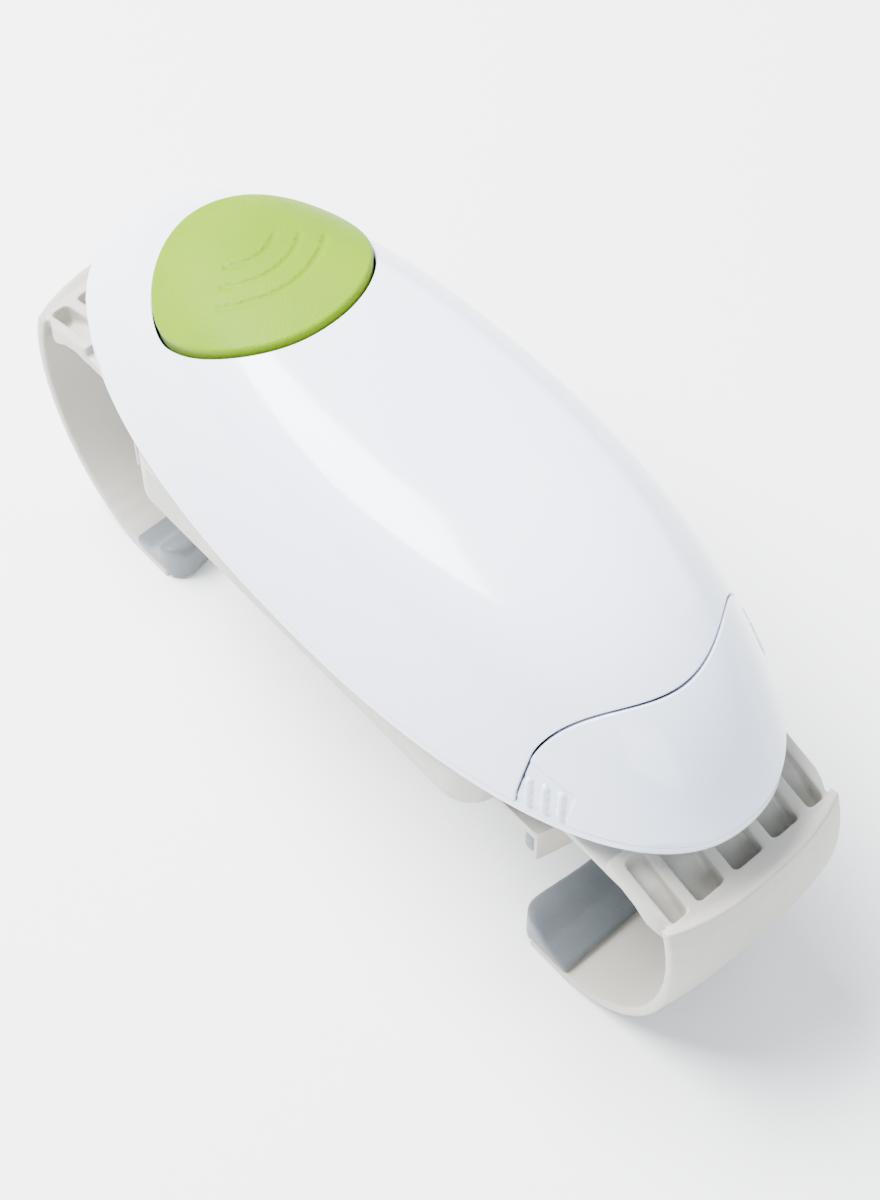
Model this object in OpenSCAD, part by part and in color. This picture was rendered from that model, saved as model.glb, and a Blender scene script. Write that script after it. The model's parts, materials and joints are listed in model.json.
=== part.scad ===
// Hands-free jar opener: an oval battery-powered body on two C-shaped jar arms, with a turning
// lid clamp underneath. Origin below the clamp axis on the plane of the feet, +Z up, +X towards
// the battery door. Lengths in millimetres.

/* [Body] */
// Length of the oval body
body_l = 190; // [188:1:192]
// Width of the oval body
body_w = 74.7; // [74:0.1:76]
// Height of the body's lower rim above the feet
rim_z = 72; // [72:0.5:73]
// Rise of the domed top above its straight side
dome_h = 34.2; // [33.5:0.1:35]
// Wall thickness of the body shells
wall = 2; // [1.8:0.1:2.2]

/* [Button] */
// Travel of the start button
button_travel = 2.5; // [2:0.1:2.5]
// Gap around the start button
button_gap = 0.6; // [0.4:0.05:0.7]
// Height of the button's crown above the body
button_proud = 1.2; // [1:0.1:2]

/* [Jar arms] */
// Width of each jar arm
arm_w = 46.6; // [45:0.1:47]
// Wall thickness of each jar arm
arm_t = 2.3; // [2:0.1:2.5]
// Travel of each jar arm
jar_travel = 27; // [20:1:27]

/* [Lid clamp] */
// Width of each lid arm
lid_arm_w = 50; // [48:1:50]
// Travel of each lid arm
lid_travel = 33; // [25:1:33]

/* [Gears] */
// Teeth of the drive gear
drive_teeth = 48; // [48:12:48]
// Teeth of each clamp pinion
clamp_teeth = 14; // [14:1:14]

/* [Batteries] */
// Diameter of an AA cell
cell_d = 14.2; // [13.8:0.1:14.5]
// Length of an AA cell with its nub
cell_l = 50; // [49.5:0.1:50.5]

/* [Hidden] */

$fn = 48;
eps = 0.01;
run = 0.05;                       // radial clearance of a running fit
slide = 0.3;                      // clearance of sliding plates

// Body surfaces: a superellipse outline under a dome
outline_e = 0.9;
outline_n = 60;
dome_rings = 12;
dome_m = 5.1;
taper = 0.035;                    // widening of the outline towards the door
half_l = body_l / 2;
half_w = body_w / 2;
plate_top = rim_z + 2;
part_z = rim_z + 4;               // parting line between rim band and top shell
dome_base = rim_z + 5.8;
rim_inset = 1.2;

// Seam of the battery door
seam_x = 62.5;
seam_bulge = 12.5;
seam_half = 26.6;
seam_gap = 0.3;
tab_ridges = [65.3, 68.5, 71.7];

// Start button
button_x = -47.8;
button_back = 20.2;
button_front = 22.4;
button_half = 22.8;
skirt_t = 1.4;
skirt_drop = 2.8;
board_z = 98.2;
board_t = 1.4;
switch_h = 3.4;

// Chassis and jar-arm level
chassis_l = 107;
chassis_w = 67.4;
chassis_r = 8;
skirt_z = 59.9;
floor_z = 61.0;
floor_t = 1.6;
chassis_top = rim_z - slide;
jar_plate_z = 62.9;
jar_plate_top = 65.5;
jar_rack_z = 65.8;
jar_rack_top = 68.4;
jar_plate_in = 33;
block_in = 81;
block_out = 98;
block_top = 68.2;
block_slope = 19;
arm_half = arm_w / 2;
arm_bow = 4.2;

// Lid-clamp level
carriage_z = 59.3;
carriage_top = 60.6;
lid_rack_z = 56.9;
lid_plate_z = 54.0;
lid_plate_top = 56.6;
lid_plate_in = 37;
lid_tip = 67.5;
cover_z = 51.6;
cover_top = 53.7;
rail_w = 2.8;
rail_l = 100;
cover_l = 60;

// Gear train, all axes along Z
pressure = 25;
backlash = 0.14;
clamp_m = 0.8;
clamp_r = clamp_m * clamp_teeth / 2;
drive_m = 0.8;
second_m = 0.65;
first_m = 0.5;
second_small = 12;
second_large = 36;
first_small = 12;
first_large = 36;
motor_teeth = 10;
second_x = -drive_m * (drive_teeth + second_small) / 2;
first_x = second_x - second_m * (second_large + first_small) / 2;
motor_x = first_x - first_m * (first_large + motor_teeth) / 2;
drive_z = 75.4;
drive_t = 3.2;
second_z = 79;
gear_t = 2.2;
first_z = 76;
axle_r = 1;
spindle_r = 2;
gear_plate_z = 83.2;
gear_plate_t = 1.8;

// Motor
motor_r = 12.2;
motor_z = 82.4;
motor_h = 12.3;

// Batteries side by side along X
cell_r = cell_d / 2;
cell_y = cell_r + 0.4;
cell_x = 24;
cell_z = 77.1 + cell_r;

shell_white = [0.92, 0.94, 0.97];
lime = [0.70, 0.84, 0.25];
warm_grey = [0.80, 0.79, 0.76];
rubber_grey = [0.55, 0.58, 0.60];
steel = [0.75, 0.76, 0.78];
gear_white = [0.93, 0.92, 0.86];
brass = [0.80, 0.65, 0.35];

function sgn_pow(v, e) = sign(v) * pow(abs(v), e);
function outline(a, b, e = outline_e, n = outline_n) =
    [for (i = [0:n - 1]) let (x = sgn_pow(cos(360 * i / n), e))
        [a * x, b * sgn_pow(sin(360 * i / n), e) * (1 + taper * x)]];
function dome_z(r) = dome_base + dome_h * (1 - pow(r, dome_m));
function ring_r(i) = i == dome_rings ? 0.03 : cos(90 * i / dome_rings);
function at_z(points, z) = [for (p = points) [p[0], p[1], z]];
function seam(y) = seam_x + (abs(y) < seam_half ? seam_bulge * pow(cos(90 * y / seam_half), 1.3) : 0);

// Closed solid through a stack of rings with equal, even point counts
module loft(rings) {
    n = len(rings[0]);
    m = len(rings);
    points = [for (ring = rings) each ring];
    sides = [for (i = [0:m - 2], j = [0:n - 1]) let (k = (j + 1) % n)
        each [[i * n + j, (i + 1) * n + j, (i + 1) * n + k], [i * n + j, (i + 1) * n + k, i * n + k]]];
    strip = [for (j = [0:n / 2 - 2]) each [[j, j + 1, n - 2 - j], [j, n - 2 - j, n - 1 - j]]];
    lid = [for (f = strip) [for (v = f) (m - 1) * n + v]];
    polyhedron(points, concat(strip, sides, [for (f = lid) [f[2], f[1], f[0]]]));
}

// Solid under the body's dome, grown or shrunk by off
module dome_solid(off, z_low) {
    a = half_l + off;
    b = half_w + off;
    loft(concat(
        [at_z(outline(a, b), z_low)],
        [for (i = [0:dome_rings]) let (r = ring_r(i)) at_z(outline(a * r, b * r), dome_z(r) + off)]));
}

module shell_wall() {
    difference() {
        dome_solid(0, part_z);
        dome_solid(-wall, part_z - 1);
    }
}

// Plan region on the door side of the seam
module door_region(gap) {
    steps = 24;
    ys = [for (i = [0:steps]) -half_w - 2 + i * (body_w + 4) / steps];
    linear_extrude(height = 60)
        polygon(concat([for (y = ys) [seam(y) + gap, y]],
            [[half_l + 5, half_w + 2], [half_l + 5, -half_w - 2]]));
}

// Egg-shaped plan of the start button, blunt towards the body's middle
module button_plan(grow) {
    steps = 48;
    polygon([for (i = [0:steps - 1])
        let (c = cos(360 * i / steps), s = sin(360 * i / steps), e = c < 0 ? 1.8 : 2.2,
            half = (c < 0 ? button_back : button_front) + grow,
            k = pow(pow(abs(c), e) + pow(abs(s), e), -1 / e))
        [button_x + half * c * k, (button_half + grow) * s * k]]);
}

module rounded_plate(l, w, r, h) {
    linear_extrude(height = h)
        square_rounded(l, w, r);
}

module square_rounded(l, w, r) {
    union() {
        square([l - 2 * r, w], center = true);
        square([l, w - 2 * r], center = true);
        for (x = [-1, 1], y = [-1, 1])
            translate([x * (l / 2 - r), y * (w / 2 - r)])
                circle(r = r);
    }
}

// Cross-head screw pointing up, its head below z = 0
module screw(head_r, shaft_r, length) {
    head_h = head_r * 0.7;
    difference() {
        union() {
            translate([0, 0, -head_h])
                cylinder(r = head_r, h = head_h);
            cylinder(r = shaft_r, h = length);
        }
        for (a = [0, 90])
            rotate([0, 0, a])
                translate([-head_r * 0.6, -0.25, -head_h - eps])
                    cube([head_r * 1.2, 0.5, head_h * 0.5]);
    }
}

/* Gears: involute flanks, stub teeth */
function involute(base, roll) = let (t = roll * PI / 180)
    [base * (cos(roll) + t * sin(roll)), base * (sin(roll) - t * cos(roll))];
function turned(p, a) = [p[0] * cos(a) - p[1] * sin(a), p[0] * sin(a) + p[1] * cos(a)];
function roll_at(base, r) = r <= base ? 0 : sqrt(pow(r / base, 2) - 1) * 180 / PI;
function flank(m, z) =
    let (pitch = m * z / 2, base = pitch * cos(pressure), tip = pitch + 0.75 * m,
        half = 90 / z - backlash / 2 / pitch * 180 / PI,
        back = half + tan(pressure) * 180 / PI - pressure, steps = 4,
        low = roll_at(base, max(base, pitch - 0.8 * m)), high = roll_at(base, tip))
    [for (i = [0:steps]) turned(involute(base, low + (high - low) * i / steps), -back)];
function tooth(m, z) = let (f = flank(m, z), root = m * z / 2 - 1.05 * m, a = atan2(f[0][1], f[0][0]))
    concat([[root * cos(a), root * sin(a)]], f,
        [for (i = [len(f) - 1:-1:0]) [f[i][0], -f[i][1]]], [[root * cos(a), -root * sin(a)]]);

module gear(m, z, h, phase = 0) {
    points = [for (k = [0:z - 1]) each [for (p = tooth(m, z)) turned(p, 360 * k / z + phase)]];
    linear_extrude(height = h)
        polygon(points);
}

// Rack with its pitch line on y = 0, teeth towards -Y, one tooth centred on x = 0
module rack(m, low, high, depth, h) {
    pitch = PI * m;
    half = pitch / 4 - backlash / 2;
    lean = tan(pressure) * m;
    first = ceil(low / pitch);
    last = floor(high / pitch);
    teeth = [for (k = [first:last]) each [
        [k * pitch - half - 1.05 * lean, 1.05 * m], [k * pitch - half + 0.8 * lean, -0.8 * m],
        [k * pitch + half - 0.8 * lean, -0.8 * m], [k * pitch + half + 1.05 * lean, 1.05 * m]]];
    linear_extrude(height = h)
        polygon(concat([[low - 2, depth], [low - 2, 1.05 * m]], teeth,
            [[high + 2, 1.05 * m], [high + 2, depth]]));
}

/* Body */
shell_bosses = [[-78, 12], [-78, -12], [36, 28.5], [36, -28.5]];

module top_shell() {
    color(shell_white) {
        difference() {
            shell_wall();
            translate([0, 0, part_z + 6])
                linear_extrude(height = 40)
                    button_plan(button_gap);
            translate([0, 0, part_z - 5])
                door_region(0);
        }
        difference() {
            intersection() {
                union() {
                    for (p = shell_bosses)
                        translate([p[0], p[1], plate_top])
                            cylinder(r = 3, h = 40);
                }
                dome_solid(-wall + 0.6, plate_top - 1);
            }
            for (p = shell_bosses)
                translate([p[0], p[1], plate_top - eps])
                    cylinder(r = 1, h = 9);
        }
    }
}

module base_plate() {
    lower = outline(half_l - rim_inset, half_w - rim_inset);
    upper = outline(half_l, half_w);
    inner = outline(half_l - wall, half_w - wall);
    color(shell_white)
        difference() {
            union() {
                translate([0, 0, rim_z])
                    linear_extrude(height = 1.2)
                        polygon(lower);
                translate([0, 0, rim_z + 1.2])
                    linear_extrude(height = part_z - rim_z - 1.2 - 0.1)
                        polygon(upper);
            }
            translate([0, 0, plate_top])
                linear_extrude(height = 10)
                    polygon(inner);
            translate([0, 0, rim_z - 1])
                cylinder(r = 4, h = 4);
            for (p = shell_bosses)
                translate([p[0], p[1], rim_z - 1])
                    cylinder(r = 1.4, h = 4);
            for (x = [first_x, second_x])
                translate([x, 0, rim_z - 1])
                    cylinder(r = axle_r, h = 4);
            for (p = chassis_bosses)
                translate([p[0], p[1], rim_z - 1])
                    cylinder(r = 1, h = 4);
        }
    color(shell_white)
        for (p = board_posts)
            translate([p[0], p[1], plate_top])
                difference() {
                    cylinder(r = 2, h = board_z - plate_top);
                    translate([0, 0, board_z - plate_top - 8])
                        cylinder(r = 0.8, h = 9);
                }
    color(shell_white)
        for (p = motor_posts)
            translate([p[0], p[1], plate_top - eps])
                cylinder(r = 2.2, h = motor_z - plate_top + eps);
    color(shell_white)
        for (p = gear_posts)
            translate([p[0], p[1], plate_top])
                difference() {
                    cylinder(r = 2.2, h = gear_plate_z - plate_top);
                    translate([0, 0, 1.5])
                        cylinder(r = 0.9, h = 9);
                }
}

module battery_door() {
    color(shell_white) {
        intersection() {
            shell_wall();
            translate([0, 0, part_z - 5])
                door_region(seam_gap);
        }
        for (x = tab_ridges, s = [-1, 1])
            translate([x, s * (door_side(x) - 1.3), part_z + 1.5])
                rotate([s * 17, 0, 0])
                    cylinder(r = 0.9, h = 8);
    }
}
function door_side(x) =
    half_w * pow(1 - pow(x / half_l, 2 / outline_e), outline_e / 2) * (1 + taper * x / half_l);

module button() {
    color(lime) {
        difference() {
            intersection() {
                dome_solid(button_proud, part_z);
                linear_extrude(height = 130)
                    button_plan(0);
            }
            intersection() {
                dome_solid(-0.2, part_z - 1);
                linear_extrude(height = 140)
                    button_plan(-skirt_t);
            }
            dome_solid(-skirt_drop, part_z - 1);
        }
        intersection() {
            dome_solid(0, part_z);
            translate([button_x, 0, board_z + board_t + switch_h + button_travel + 0.1])
                cylinder(r = 2.5, h = 12);
        }
    }
}

spring_r = 4.2;
module button_spring() {
    turns = 5;
    low = board_z + board_t;
    high = 109.8;
    wire = 0.35;
    color(steel)
        translate([button_x, 0, 0])
            for (i = [0:turns * 2])
                translate([0, 0, low + wire + (high - low - 2 * wire) * i / (turns * 2)])
                    rotate_extrude()
                        translate([spring_r, 0])
                            circle(r = wire, $fn = 16);
}

module tact_switch() {
    side = 5;
    color("dimgray")
        translate([button_x - side / 2, -side / 2, board_z + board_t])
            cube([side, side, switch_h - 1]);
    color("black")
        translate([button_x, 0, board_z + board_t + switch_h - 1])
            cylinder(r = 1.6, h = 1);
}

board_posts = [[-57, 13], [-57, -13], [-39, 17], [-39, -17]];
module circuit_board() {
    color("darkgreen")
        translate([0, 0, board_z])
            difference() {
                linear_extrude(height = board_t)
                    polygon([[-62.8, -7.8], [-60.8, -10.9], [-58.4, -13.9], [-57, -15], [-41, -19.3],
                        [-34, -19.3], [-34, 19.3], [-41, 19.3], [-57, 15], [-58.4, 13.9],
                        [-60.8, 10.9], [-62.8, 7.8]]);
                for (p = board_posts)
                    translate([p[0], p[1], -1])
                        cylinder(r = 1, h = 4);
            }
}

module board_screws() {
    color(steel)
        for (p = board_posts)
            translate([p[0], p[1], board_z + board_t])
                rotate([180, 0, 0])
                    screw(1.7, 0.8, 6);
}

/* Drive */
module motor_can() {
    color(steel)
        translate([motor_x, 0, motor_z])
            difference() {
                cylinder(r = motor_r, h = motor_h);
                translate([0, 0, 1])
                    cylinder(r = motor_r - 0.8, h = motor_h);
                translate([0, 0, -1])
                    cylinder(r = 2.6, h = 3);
            }
}

module motor_end_cap() {
    color("dimgray")
        translate([motor_x, 0, motor_z + motor_h])
            union() {
                cylinder(r = motor_r, h = 0.9);
                translate([0, 0, -2])
                    cylinder(r = motor_r - 0.8, h = 2);
            }
}

module motor_terminals() {
    color(brass)
        for (s = [-1, 1])
            translate([motor_x + 5, s * 6 - 1.2, motor_z + motor_h + 0.9])
                cube([0.5, 2.4, 1.8]);
}

motor_shaft_r = 0.75;
module motor_shaft() {
    color(steel)
        translate([motor_x, 0, first_z])
            cylinder(r = motor_shaft_r, h = motor_z + motor_h - 2.2 - first_z);
}

module motor_pinion() {
    color(brass)
        translate([motor_x, 0, first_z])
            difference() {
                gear(first_m, motor_teeth, gear_t + 1, 180 / motor_teeth);
                translate([0, 0, -1])
                    cylinder(r = motor_shaft_r, h = 6);
            }
}

// Compound gear: a large wheel and a small one on a common bore
module compound(m_large, z_large, low_large, m_small, z_small, low_small, h_small) {
    difference() {
        union() {
            translate([0, 0, low_large])
                gear(m_large, z_large, gear_t);
            translate([0, 0, low_small])
                gear(m_small, z_small, h_small, 180 / z_small);
        }
        translate([0, 0, 70])
            cylinder(r = axle_r + run, h = 20);
    }
}

module first_gear() {
    color(gear_white)
        translate([first_x, 0, 0])
            compound(first_m, first_large, first_z, second_m, first_small, first_z + gear_t,
                second_z + gear_t + 0.4 - first_z - gear_t);
}

module second_gear() {
    color(gear_white)
        translate([second_x, 0, 0])
            compound(second_m, second_large, second_z, drive_m, second_small, drive_z - 0.2,
                second_z - drive_z + 0.2);
}

module gear_axles() {
    color(steel)
        for (a = [[first_x, motor_z - 0.4], [second_x, gear_plate_z + gear_plate_t]])
            translate([a[0], 0, rim_z])
                cylinder(r = axle_r, h = a[1] - rim_z);
}

motor_posts = [[-57.5, 6.5], [-57.5, -6.5], [-47, 11], [-47, -11]];
gear_posts = [[-38, 11.9], [-38, -11.9], [-10, 22.5], [-10, -22.5]];
module gear_plate() {
    color(warm_grey)
        translate([0, 0, gear_plate_z])
            difference() {
                linear_extrude(height = gear_plate_t)
                    polygon([[-35.2, -14.8], [-12, -25.5], [7, -25.5], [7, 25.5], [-12, 25.5],
                        [-35.2, 14.8], [-41, 14.8], [-41, 9.6], [-36.8, 9.2], [-36.8, -9.2],
                        [-41, -9.6], [-41, -14.8]]);
                for (p = gear_posts)
                    translate([p[0], p[1], -1])
                        cylinder(r = 1.1, h = 4);
                translate([second_x, 0, -1])
                    cylinder(r = axle_r, h = 4);
                translate([0, 0, -1])
                    cylinder(r = spindle_r + run, h = 4);
            }
}

module gear_plate_screws() {
    color(steel)
        for (p = gear_posts)
            translate([p[0], p[1], gear_plate_z + gear_plate_t])
                rotate([180, 0, 0])
                    screw(2, 0.9, 7);
}

/* Batteries */
box_x = 20.2;
box_l = 55.2;
box_w = 4 * cell_r + 4.4;
module battery_box() {
    color(shell_white)
        translate([0, 0, plate_top])
            difference() {
                translate([box_x, -box_w / 2, 0])
                    cube([box_l, box_w, 8]);
                for (s = [-1, 1])
                    translate([box_x + 1.5, s * cell_y, cell_z - plate_top])
                        rotate([0, 90, 0])
                            cylinder(r = cell_r + 0.2, h = box_l);
                for (s = [-1, 1])
                    translate([box_x + 1.5, s * cell_y - 4, 2])
                        cube([2.2, 8, 9]);
                translate([cell_x + cell_l, -box_w / 2 + 1.5, 2])
                    cube([0.7, box_w - 3, 9]);
            }
}

module cell(flip) {
    body = cell_l - 1.2;
    shift = flip ? 1.2 : 0;
    color("seagreen")
        translate([cell_x + shift, 0, 0])
            rotate([0, 90, 0])
                cylinder(r = cell_r, h = body);
    color(steel)
        translate([flip ? cell_x : cell_x + body, 0, 0])
            rotate([0, 90, 0])
                cylinder(r = 2.7, h = 1.2);
}

module battery_left() {
    translate([0, cell_y, cell_z])
        cell(false);
}

module battery_right() {
    translate([0, -cell_y, cell_z])
        cell(true);
}

module contact_springs() {
    color(steel)
        translate([box_x + 1.7, cell_y, cell_z])
            rotate([0, 90, 0])
                for (i = [0:2])
                    translate([0, 0, 0.35 + i * (cell_x - box_x - 2.4) / 2])
                        rotate_extrude()
                            translate([3.4 - i * 0.7, 0])
                                circle(r = 0.35, $fn = 16);
}

module contact_plates() {
    color(steel) {
        translate([cell_x - 0.5, -cell_y - 3.5, cell_z - 4.5])
            cube([0.4, 7, 9]);
        translate([cell_x + cell_l + 0.1, -cell_y - 3.5, cell_z - 5.5])
            cube([0.4, 2 * cell_y + 7, 8]);
    }
}

module housing_screws() {
    color(steel)
        for (p = shell_bosses)
            translate([p[0], p[1], rim_z])
                screw(2.4, 1, 8);
}

/* Chassis */
chassis_bosses = [[44, 28.5], [44, -28.5], [-44, 28.5], [-44, -28.5]];
hub_r = 8;
module chassis() {
    color(warm_grey)
        difference() {
            union() {
                difference() {
                    translate([0, 0, skirt_z])
                        rounded_plate(chassis_l, chassis_w, chassis_r, chassis_top - skirt_z);
                    translate([0, 0, floor_z + floor_t])
                        rounded_plate(chassis_l - 4, chassis_w - 4, chassis_r - 2, 20);
                    translate([0, 0, skirt_z - 1])
                        rounded_plate(chassis_l - 3, chassis_w - 3, chassis_r - 1.5, floor_z - skirt_z + 1);
                }
                for (s = [-1, 1])
                    translate([-chassis_l / 2 + 4, s * (arm_half + slide + 0.8) - 0.8, floor_z + 0.5])
                        cube([chassis_l - 8, 1.6, floor_t + 3]);
                for (p = chassis_bosses)
                    translate([p[0], p[1], floor_z + 0.5])
                        cylinder(r = 2.9, h = chassis_top - floor_z - 0.5);
            }
            translate([0, 0, floor_z - 1])
                cylinder(r = hub_r + run, h = 5);
            translate([-chassis_l, -arm_half - slide, floor_z + floor_t])
                cube([2 * chassis_l, arm_w + 2 * slide, 20]);
            for (p = chassis_bosses)
                translate([p[0], p[1], floor_z - 1])
                    cylinder(r = 1.3, h = 20);
        }
}

module chassis_screws() {
    color(steel)
        for (p = chassis_bosses)
            translate([p[0], p[1], floor_z])
                screw(1.5, 1, 12);
}

/* Turning lid clamp */
module bearing_bush() {
    color(brass)
        translate([0, 0, rim_z - 0.8])
            difference() {
                cylinder(r = 4, h = 3.4);
                translate([0, 0, -1])
                    cylinder(r = spindle_r + run, h = 6);
            }
}

module drive_gear() {
    color(gear_white)
        translate([0, 0, drive_z])
            difference() {
                gear(drive_m, drive_teeth, drive_t);
                translate([0, 0, -1])
                    cylinder(r = spindle_r, h = 6);
            }
}

module spindle() {
    color(steel)
        translate([0, 0, lid_plate_top + 0.1])
            cylinder(r = spindle_r, h = gear_plate_z + gear_plate_t - lid_plate_top + 0.8);
}

module retaining_clip() {
    color(steel)
        translate([0, 0, rim_z - 1.7])
            difference() {
                cylinder(r = 3.6, h = 0.7);
                translate([0, 0, -1])
                    cylinder(r = spindle_r, h = 3);
            }
}

module clamp_pinion(low, h) {
    translate([0, 0, low])
        difference() {
            gear(clamp_m, clamp_teeth, h);
            translate([0, 0, -1])
                cylinder(r = spindle_r + run, h = h + 2);
        }
}

module jar_pinion() {
    color(gear_white)
        clamp_pinion(jar_rack_z, jar_rack_top - jar_rack_z);
}

module lid_pinion() {
    color(gear_white)
        clamp_pinion(lid_rack_z, carriage_z - lid_rack_z - 0.2);
}

module jar_clutch_washer() {
    color("sienna")
        translate([0, 0, jar_rack_top + 0.1])
            difference() {
                cylinder(r = 4.4, h = 0.8);
                translate([0, 0, -1])
                    cylinder(r = spindle_r + 0.1, h = 3);
            }
}

module jar_clutch_spring() {
    low = jar_rack_top + 0.95;
    high = rim_z - 1.75;
    color(steel)
        rotate_extrude()
            polygon([[2.3, high - 0.3], [2.3, high], [4.2, low + 0.3], [4.2, low]]);
}

module lid_carriage() {
    disc_r = 28;
    color(warm_grey) {
        difference() {
            union() {
                translate([0, 0, carriage_z])
                    cylinder(r = disc_r, h = carriage_top - carriage_z);
                translate([0, 0, carriage_z])
                    cylinder(r = hub_r, h = floor_z + floor_t - carriage_z);
            }
            translate([0, 0, carriage_z - 1])
                cylinder(r = spindle_r, h = 6);
        }
        for (s = [-1, 1])
            difference() {
                translate([-rail_l / 2, s * (lid_arm_w / 2 + 0.3 + rail_w / 2) - rail_w / 2, cover_top])
                    cube([rail_l, rail_w, carriage_z - cover_top + 0.3]);
                for (x = [-24, 24])
                    translate([x, s * (lid_arm_w / 2 + 0.3 + rail_w / 2), cover_top - 1])
                        cylinder(r = 0.7, h = 5);
            }
    }
}

module lid_cover() {
    w = lid_arm_w + 0.6 + 2 * rail_w;
    color(warm_grey)
        translate([0, 0, cover_z])
            difference() {
                rounded_plate(cover_l, w, 4, cover_top - cover_z);
                for (x = [-24, 24], s = [-1, 1])
                    translate([x, s * (lid_arm_w / 2 + 0.3 + rail_w / 2), -1])
                        cylinder(r = 0.9, h = 4);
            }
}

module lid_cover_screws() {
    color(steel)
        for (x = [-24, 24], s = [-1, 1])
            translate([x, s * (lid_arm_w / 2 + 0.3 + rail_w / 2), cover_z])
                screw(1.3, 0.7, 5);
}

module lid_arm() {
    half = lid_arm_w / 2;
    tongue = lid_travel + 3;
    color(warm_grey) {
        intersection() {
            union() {
                translate([lid_plate_in, -half, lid_plate_z])
                    cube([40, lid_arm_w, lid_plate_top - lid_plate_z]);
                translate([63.3, -half, 45.6])
                    cube([10, lid_arm_w, lid_plate_top - 45.6]);
            }
            translate([0, 0, 40])
                linear_extrude(height = 20)
                    lid_arm_plan();
        }
        translate([0, clamp_r, lid_rack_z])
            rack(clamp_m, -3, tongue + 2, 5.4, carriage_z - lid_rack_z - 0.2);
        translate([lid_plate_in, clamp_r + 0.9, lid_plate_top - eps])
            cube([8, 4.5, lid_rack_z - lid_plate_top + 1]);
    }
}

module lid_arm_plan() {
    intersection() {
        translate([lid_tip - 60, 0])
            square_rounded(120, lid_arm_w, 5);
        translate([lid_tip - 90, 0])
            circle(r = 90, $fn = 180);
    }
}

// Curved jaw: concave towards the lid
module lid_pad() {
    color(rubber_grey)
        translate([0, 0, 44.6])
            linear_extrude(height = 6.6)
                difference() {
                    translate([61, 0])
                        square_rounded(4.6, lid_arm_w - 2, 2);
                    circle(r = 59.6, $fn = 180);
                }
}

/* Jar arms */
// Outer side of the arm seen along Y, from the block down to the foot
arm_ctrl = [[98.3, 62.9], [106, 40], [97, 6], [74, 0]];
arm_steps = 14;
function bezier(c, t) = pow(1 - t, 3) * c[0] + 3 * t * pow(1 - t, 2) * c[1]
    + 3 * t * t * (1 - t) * c[2] + pow(t, 3) * c[3];
function slope(c, t) = 3 * pow(1 - t, 2) * (c[1] - c[0]) + 6 * t * (1 - t) * (c[2] - c[1])
    + 3 * t * t * (c[3] - c[2]);
function inward(v) = let (l = norm(v)) [v[1] / l, -v[0] / l];
foot_in = 62;
arm_sections = 10;
// Cross-section of the arm at station t: outer edge across Y, then inner edge back
function arm_ring(p, n) = concat(
    [for (i = [0:arm_sections]) let (v = 2 * i / arm_sections - 1)
        [p[0] + arm_bow * arm_bulge(p, v), v * arm_half, p[1]]],
    [for (i = [arm_sections:-1:0]) let (v = 2 * i / arm_sections - 1)
        [p[0] + arm_bow * arm_bulge(p, v) + arm_t * n[0], v * arm_half, p[1] + arm_t * n[1]]]);
function arm_bulge(p, v) = (p[1] / arm_ctrl[0][1]) * (1 - pow(abs(v), 2.5));

module arm_band() {
    loft(concat(
        [arm_ring([foot_in, 0], [0, 1])],
        [for (i = [arm_steps:-1:0]) let (t = i / arm_steps)
            arm_ring(bezier(arm_ctrl, t), inward(slope(arm_ctrl, t)))]));
}

module block_plan() {
    intersection() {
        translate([block_out - 20, 0])
            square_rounded(2 * 22, arm_w - 0.3, 9);
        translate([block_out + arm_bow - 68, 0])
            circle(r = 68, $fn = 120);
    }
}

pocket_edges = [[-20.6, -16.4], [-13.6, -6.5], [-3.8, 3.8], [6.5, 13.6], [16.4, 20.6]];
module arm_block() {
    difference() {
        intersection() {
            translate([0, 0, 50])
                linear_extrude(height = 30)
                    block_plan();
            rotate([90, 0, 0])
                translate([0, 0, -arm_half - 1])
                    linear_extrude(height = arm_w + 2)
                        polygon([[block_in, jar_plate_z + 0.1], [block_in, block_top],
                            [112, block_top - 31 * tan(block_slope)],
                            [112, 50], [100, 50], [95.3, 56.2], [89, 61.4], [85, jar_plate_z + 0.1]]);
        }
        for (p = pocket_edges)
            rotate([90, 0, 0])
                translate([0, 0, -p[1]])
                    linear_extrude(height = p[1] - p[0])
                        polygon([[block_in + 2, 70], [block_in + 2, jar_plate_z + 1.6], [89, 62.6],
                            [96.5, 56.5], [97.7, 70]]);
    }
}

module jar_arm() {
    plate_w = arm_w - 2 * 0.3;
    tongue_z = jar_rack_z - jar_plate_top;
    color(warm_grey) {
        translate([jar_plate_in, -plate_w / 2, jar_plate_z])
            cube([block_in + 2.5 - jar_plate_in, plate_w, jar_plate_top - jar_plate_z]);
        arm_block();
        arm_band();
        translate([0, clamp_r, jar_rack_z])
            rack(clamp_m, -3, jar_travel + 5, 5.4, jar_rack_top - jar_rack_z);
        translate([jar_plate_in, clamp_r + 0.9, jar_plate_top - eps])
            cube([14, 4.5, tongue_z + 1]);
    }
}

// Rubber jaw over the inner end of the foot: a grip wall with a low saddle behind it
pad_in = 57.5;
pad_out = 73;
pad_h = 12;
module jar_pad() {
    half = arm_half;
    color(rubber_grey)
        difference() {
            intersection() {
                rotate([90, 0, 0])
                    translate([0, 0, -half])
                        linear_extrude(height = arm_w)
                            polygon([[pad_in, 0.4], [pad_in, pad_h - 3], [pad_in + 1, pad_h - 0.8],
                                [pad_in + 3, pad_h], [pad_in + 6, pad_h - 1], [pad_in + 9, pad_h - 4.5],
                                [pad_out, arm_t + 2.2], [pad_out, arm_t], [foot_in, arm_t],
                                [foot_in, 0.4]]);
                translate([pad_in + 20, 0, 0])
                    linear_extrude(height = 20)
                        square_rounded(40, arm_w, 6);
            }
            translate([pad_in - 88, 0, -1])
                cylinder(r = 90, h = 30, $fn = 180);
        }
}

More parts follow.
